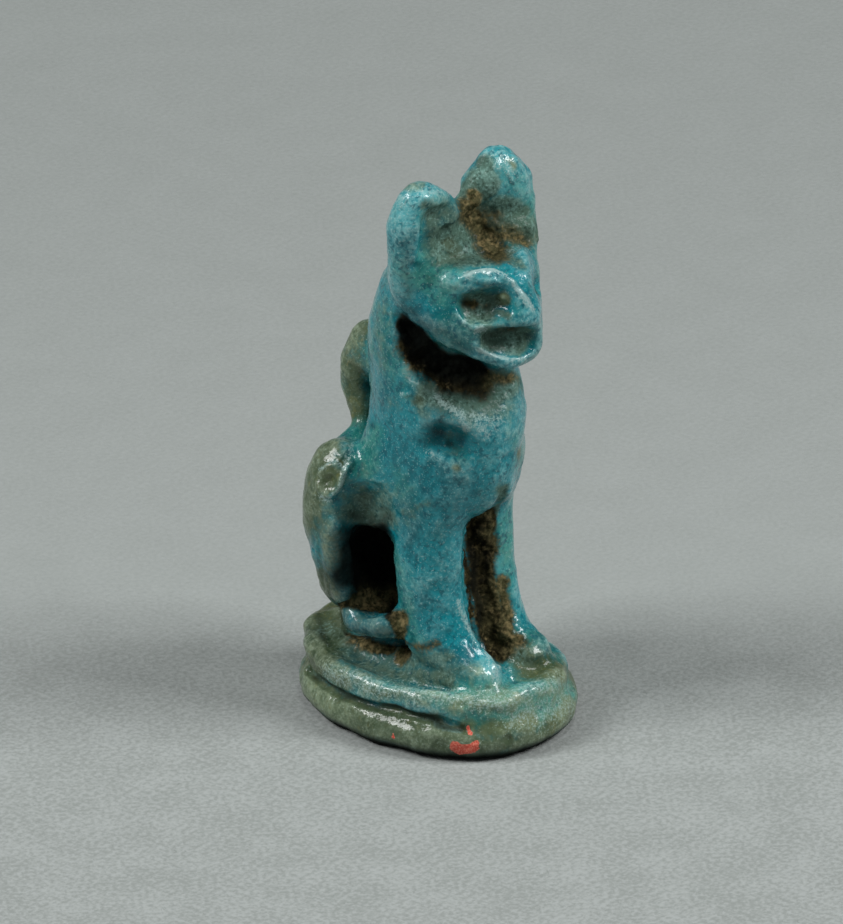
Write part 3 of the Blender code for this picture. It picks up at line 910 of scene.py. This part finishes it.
DEEP_TEAL = srgb(0, 98, 108)
TEAL = srgb(10, 126, 136)
LIGHT_TEAL = srgb(70, 154, 160)
GREEN_DEEP = srgb(8, 98, 94)
GREEN_TEAL = srgb(60, 140, 128)
PALE_TEAL = srgb(160, 202, 198)
DARK_SPECK = srgb(0, 82, 94)
SHADED_HOLLOW_TEAL = srgb(0, 60, 76)
OLIVE_PALE = srgb(160, 174, 146)
OLIVE_LIGHT = srgb(112, 122, 88)
OLIVE_GLAZE = srgb(74, 83, 52)
OLIVE_DARK = srgb(38, 54, 26)
YELLOW_OLIVE = srgb(112, 110, 52)
CRUST_LIGHT = srgb(106, 136, 124)
CRUST = srgb(80, 100, 84)
CRUST_DARK = srgb(48, 56, 38)
SOIL_DARK = srgb(18, 15, 4)
SOIL_BROWN = srgb(56, 50, 28)
DRY_DARK = srgb(52, 52, 30)
DRY_BROWN = srgb(92, 88, 60)
SOIL_TAN = srgb(136, 120, 84)
NEAR_BLACK_SOIL_AND_SHADE = srgb(2, 6, 4)
PALE_SCUFF_AND_HIGHLIGHT = srgb(160, 186, 182)
RED_PAINT = srgb(196, 82, 68)
RED_PAINT_PALE = srgb(216, 126, 106)

# The floor's card: its tooth's two shades, its strands and the painted shade on its far part
CARD_DARK = srgb(136, 141, 138)
CARD_PALE = srgb(155, 160, 158)
CARD_STRAND = srgb(98, 105, 101)
CARD_FAR_SHADE = srgb(80, 86, 84)

# The noises that the glaze's layers share: (size of the lumps, detail, roughness, distortion)
NOISES = {
    "broad": (2.6, 2.0, 0.55, 0.0),
    "cloud": (0.8, 3.0, 0.55, 0.0),
    "mottle": (0.26, 3.0, 0.6, 0.0),
    "fine": (0.1, 3.0, 0.6, 0.0),
    "grain": (0.16, 1.5, 0.5, 0.4),
    "dust": (0.05, 2.0, 0.6, 0.0),
}

# The card's noises, in the same way
TOOTH = (0.16, 3.0, 0.6, 0.0)
SOFT_CLOUDS = (1.8, 2.0, 0.5, 0.0)
STRANDS = (0.9, 1.0, 0.5, 1.2)
STRAND_PLACES = (0.7, 1.0, 0.5, 0.0)
TOOTH_DEPTH = 0.05

# How far towards the camera the card's tooth comes up, and its far shade sets in
TOOTH_RANGE = (-9.0, 1.0)
FAR_RANGE = (2.0, -50.0)
CARD_ROUGHNESS = 0.95
CARD_SPECULAR = 0.1

# How strongly the noises' narrow swing about their middle is spread
NOISE_SPREAD = 4

# The glaze's gloss, how rough it and the matt layers are, and its relief: (noise, depth, strength)
GLAZE_SPECULAR = 0.12
GLAZE_ROUGHNESS = (0.36, 0.55)
MATT_ROUGHNESS = 0.95
COAT_ROUGHNESS = 0.1
COAT_IOR = 1.5
RELIEF = [("cloud", 0.07, 0.7), ("mottle", 0.026, 0.8)]
FINE_RELIEF = ("fine", 0.015, 0.9)
COAT_RELIEF = ("fine", 0.008, 0.9)


class Glaze(Nodes):
    """A node tree with the noises that the glaze's layers share."""

    def __init__(self, name):
        super().__init__(name)
        self.fields = {field: self.noise(*shape) for field, shape in NOISES.items()}

    def sway(self, **amounts):
        """The named noises, each spread and moved to lie about 0, times its amount, added up."""
        terms = []
        for field, amount in amounts.items():
            centred = self.math("SUBTRACT", self.fields[field], 0.5)
            terms.append(self.math("MULTIPLY", centred, amount * NOISE_SPREAD))
        return self.total(*terms)


def body_layer(n):
    """Glaze from deep blue-teal to light turquoise, greener in places, worn pale on what stands out, with
    painted shade in its hollows.
    """
    tone = n.total(n.sway(cloud=0.28, mottle=0.16, fine=0.12), n.attribute("tone"))
    colour = n.mix(n.ramp(tone, -0.4, 0.0), DEEP_TEAL, TEAL)
    colour = n.mix(n.ramp(tone, 0.0, 0.4), colour, LIGHT_TEAL)
    green = n.ramp(n.total(n.sway(broad=0.6, mottle=0.15), n.attribute("green")), -0.1, 0.5, 0.0, 0.9)
    colour = n.mix(green, colour, n.mix(n.ramp(tone, -0.4, 0.4), GREEN_DEEP, GREEN_TEAL))
    hollow = n.attribute("hollow")
    patchy = n.ramp(n.sway(mottle=0.35, fine=0.4), -0.35, 0.4, 0.2, 1.0)
    worn = n.math("MULTIPLY", n.ramp(hollow, -0.01, -0.09), patchy)
    colour = n.cover(colour, worn, 0.5, PALE_TEAL)
    # painted shade: the hollows darkened towards deep teal
    return n.cover(colour, n.ramp(hollow, 0.03, 0.12), 0.5, SHADED_HOLLOW_TEAL), tone, worn


def grain_layer(n, colour):
    """Dark and pale grains in the glaze."""
    gathered = n.ramp(n.sway(cloud=0.5), 0.3, -0.2, 0.4, 1.0)
    dark = n.math("MULTIPLY", n.ramp(n.sway(grain=0.5, fine=0.05), -0.05, 0.4), gathered)
    colour = n.cover(colour, dark, 0.78, DARK_SPECK)
    pale = n.ramp(n.sway(fine=0.3, dust=0.45), 0.3, 0.5)
    return n.cover(colour, pale, 0.28, PALE_TEAL)


def olive_layer(n, colour, tone, worn):
    """Glaze that has turned olive, and how much of it there is."""
    olive = n.mix(n.ramp(tone, -0.6, 0.0), OLIVE_DARK, OLIVE_GLAZE)
    olive = n.mix(n.ramp(tone, 0.0, 0.6), olive, OLIVE_LIGHT)
    olive = n.mix(n.ramp(n.sway(broad=0.3, grain=0.4), 0.1, 0.6, 0.0, 0.45), olive, YELLOW_OLIVE)
    olive = n.cover(olive, worn, 0.45, OLIVE_PALE)
    share = n.ramp(n.total(n.attribute("olive"), n.sway(mottle=0.18, cloud=0.22)), 0.05, 0.9)
    return n.cover(colour, share, 0.92, olive), share


def crust_layer(n, colour, rim):
    """Matt crust round the soil, and how much of it there is."""
    share = n.ramp(n.total(n.attribute("stain"), rim), 0.15, 0.85)
    crust = n.mix(n.ramp(n.sway(mottle=0.3, fine=0.3), -0.4, 0.05), CRUST_DARK, CRUST)
    crust = n.mix(n.ramp(n.sway(cloud=0.35, fine=0.25), -0.05, 0.4), crust, CRUST_LIGHT)
    return n.cover(colour, share, 0.88, crust), share


def scuff_and_highlight_layer(n, colour):
    """Pale, scratched glaze, and painted highlights."""
    share = n.ramp(n.total(n.attribute("scuff_and_highlight"), n.sway(fine=0.4, dust=0.4)), 0.2, 1.2)
    return n.cover(colour, share, 0.7, PALE_SCUFF_AND_HIGHLIGHT)


def soil_layer(n, colour, rim):
    """Soil, pale where dry, and painted shade, nearly black, over the deep soil and in the hollows, and how
    much of both there is.
    """
    share = n.ramp(n.total(n.attribute("soil"), rim), 0.2, 0.82)
    dry = n.ramp(n.total(n.attribute("dry"), n.sway(mottle=0.1)), 0.0, 1.0)
    crumb = n.ramp(n.sway(mottle=0.35, fine=0.3), -0.35, 0.4)
    soil = n.mix(crumb, n.mix(dry, SOIL_DARK, DRY_DARK), n.mix(dry, SOIL_BROWN, DRY_BROWN))
    tan = n.total(n.sway(cloud=0.25, grain=0.3, fine=0.2), n.math("MULTIPLY", dry, 0.3))
    soil = n.mix(n.ramp(tan, 0.12, 0.7, 0.0, 0.8), soil, SOIL_TAN)
    colour = n.mix(share, colour, soil)
    # painted shade, nearly black, over the dark soil in the throat, the hollows and the creases, and along
    # the foot's undercut edge
    soil_and_shade = n.ramp(n.total(n.attribute("soil_and_shade"), n.sway(mottle=0.08, fine=0.06)), 0.05, 0.95)
    return n.cover(colour, soil_and_shade, 0.96, NEAR_BLACK_SOIL_AND_SHADE), n.math("MAXIMUM", share, soil_and_shade)


def paint_layer(n, colour):
    """Red paint with broken edges, and how much of it there is."""
    fleck = n.attribute("paint")
    broken = n.math("MULTIPLY", fleck, n.sway(fine=0.35, grain=0.3))
    share = n.ramp(n.math("ADD", fleck, broken), 0.42, 0.56)
    paint = n.mix(n.ramp(n.fields["dust"], 0.4, 0.65), RED_PAINT, RED_PAINT_PALE)
    return n.mix(share, colour, paint), share


def glaze_relief(n):
    """Tilts the surface by the noises, the clear coat less finely than what lies under it."""
    relief = None
    for field, depth, strength in RELIEF:
        relief = n.bump(n.fields[field], depth, strength, relief)
    for socket, (field, depth, strength) in (("Normal", FINE_RELIEF), ("Coat Normal", COAT_RELIEF)):
        n.feed(n.shader.inputs[socket], n.bump(n.fields[field], depth, strength, relief))


def faience():
    """Turquoise glaze over a granular body, olive where altered, with crust and soil in its hollows."""
    n = Glaze("worn_faience")
    colour, tone, worn = body_layer(n)
    colour = grain_layer(n, colour)
    colour, olive_share = olive_layer(n, colour, tone, worn)
    rim = n.sway(mottle=0.14, cloud=0.1, fine=0.1)
    colour, crust_share = crust_layer(n, colour, rim)
    colour = scuff_and_highlight_layer(n, colour)
    colour, soil_and_shade_share = soil_layer(n, colour, rim)
    colour, paint_share = paint_layer(n, colour)
    matt = n.math("MAXIMUM", soil_and_shade_share, n.math("MULTIPLY", crust_share, 0.9))
    matt = n.math("MAXIMUM", matt, n.math("MULTIPLY", paint_share, 0.8), clamp=True)
    n.feed(n.shader.inputs["Base Color"], colour)
    glaze_roughness = n.ramp(n.fields["mottle"], 0.3, 0.7, *GLAZE_ROUGHNESS)
    n.feed(n.shader.inputs["Roughness"], n.blend(matt, glaze_roughness, MATT_ROUGHNESS))
    n.feed(n.shader.inputs["Specular IOR Level"], GLAZE_SPECULAR)
    gloss = n.ramp(n.sway(cloud=0.4, mottle=0.3), -0.4, 0.3, 0.5, 1.0)
    gloss = n.math("MULTIPLY", gloss, n.ramp(olive_share, 0.0, 1.0, 1.0, 0.65))
    n.feed(n.shader.inputs["Coat Weight"], n.math("MULTIPLY", n.math("SUBTRACT", 1.0, matt), gloss))
    n.feed(n.shader.inputs["Coat Roughness"], COAT_ROUGHNESS)
    n.feed(n.shader.inputs["Coat IOR"], COAT_IOR)
    glaze_relief(n)
    return n.material


piece.data.materials.clear()
piece.data.materials.append(faience())
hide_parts("cat_amulet")
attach(piece, "root")


def paper():
    """Pale grey card whose mottled, faintly fibrous tooth shows near the amulet and fades behind it, where
    painted shade darkens it.
    """
    n = Nodes("grey_card")
    tooth = n.noise(*TOOTH)
    strand = n.noise(*STRANDS)
    ahead = n.add("ShaderNodeVectorMath", operation="DOT_PRODUCT")
    n.feed(ahead.inputs[0], n.place)
    n.feed(ahead.inputs[1], tuple(Vector((BACK.x, BACK.y, 0)).normalized() / MM))
    near = n.ramp(ahead.outputs["Value"], *TOOTH_RANGE, 0.25, 1.0)
    far = n.ramp(ahead.outputs["Value"], *FAR_RANGE)
    shade = n.math("ADD", n.math("MULTIPLY", tooth, 0.75), n.math("MULTIPLY", n.noise(*SOFT_CLOUDS), 0.25))
    shade = n.math("ADD", 0.5, n.math("MULTIPLY", n.math("SUBTRACT", shade, 0.5), near))
    card = n.mix(n.ramp(shade, 0.36, 0.64), CARD_DARK, CARD_PALE)
    line = n.ramp(n.math("ABSOLUTE", n.math("SUBTRACT", strand, 0.5)), 0.006, 0.0)
    line = n.math("MULTIPLY", line, n.ramp(n.noise(*STRAND_PLACES), 0.56, 0.66))
    card = n.cover(card, n.math("MULTIPLY", line, near), 0.35, CARD_STRAND)
    # painted shade darkening the card's far part
    card = n.cover(card, far, 0.14, CARD_FAR_SHADE)
    n.feed(n.shader.inputs["Base Color"], card)
    n.feed(n.shader.inputs["Roughness"], CARD_ROUGHNESS)
    n.feed(n.shader.inputs["Specular IOR Level"], CARD_SPECULAR)
    n.feed(n.shader.inputs["Normal"], n.bump(tooth, TOOTH_DEPTH, 0.5))
    return n.material


def floor():
    bpy.ops.mesh.primitive_plane_add(size=FLOOR_SIDE * MM)
    made = bpy.context.object
    made.name = "floor"
    made.data.materials.append(paper())


def softbox(name, azimuth, elevation, size, power):
    """A square soft light that faces the amulet; its azimuth is counted from the camera's, to the right."""
    turn, lift = math.radians(VIEW_AZIMUTH + azimuth), math.radians(elevation)
    way = Vector((math.sin(turn) * math.cos(lift), -math.cos(turn) * math.cos(lift), math.sin(lift)))
    light = bpy.data.lights.new(name, "AREA")
    light.shape = "SQUARE"
    light.size = size * MM
    light.energy = power
    made = bpy.data.objects.new(name, light)
    made.location = (way * LIGHT_DISTANCE + Vector((0, 0, LIGHT_AIM_HEIGHT))) * MM
    made.rotation_mode = "QUATERNION"
    made.rotation_quaternion = (-way).to_track_quat("-Z", "Y")
    bpy.context.scene.collection.objects.link(made)


def studio():
    for light in LIGHTS:
        softbox(*light)
    world = bpy.data.worlds.new("studio")
    bpy.context.scene.world = world
    world.use_nodes = True
    sky = world.node_tree.nodes["Background"]
    sky.inputs["Color"].default_value = SKY_COLOUR
    sky.inputs["Strength"].default_value = SKY_STRENGTH


def camera():
    data = bpy.data.cameras.new("camera")
    data.sensor_width = SENSOR
    data.lens = SENSOR * VIEW_DISTANCE * PIXELS_PER_MM / max(PHOTO_SIZE)
    data.clip_start = CLIP_START * MM
    data.clip_end = 10 * FLOOR_SIDE * MM
    made = bpy.data.objects.new("camera", data)
    made.location = EYE * MM
    made.rotation_mode = "QUATERNION"
    made.rotation_quaternion = (-BACK).to_track_quat("-Z", "Y")
    bpy.context.scene.collection.objects.link(made)
    bpy.context.scene.camera = made


floor()
studio()
camera()
bpy.context.scene.view_settings.view_transform = "Standard"
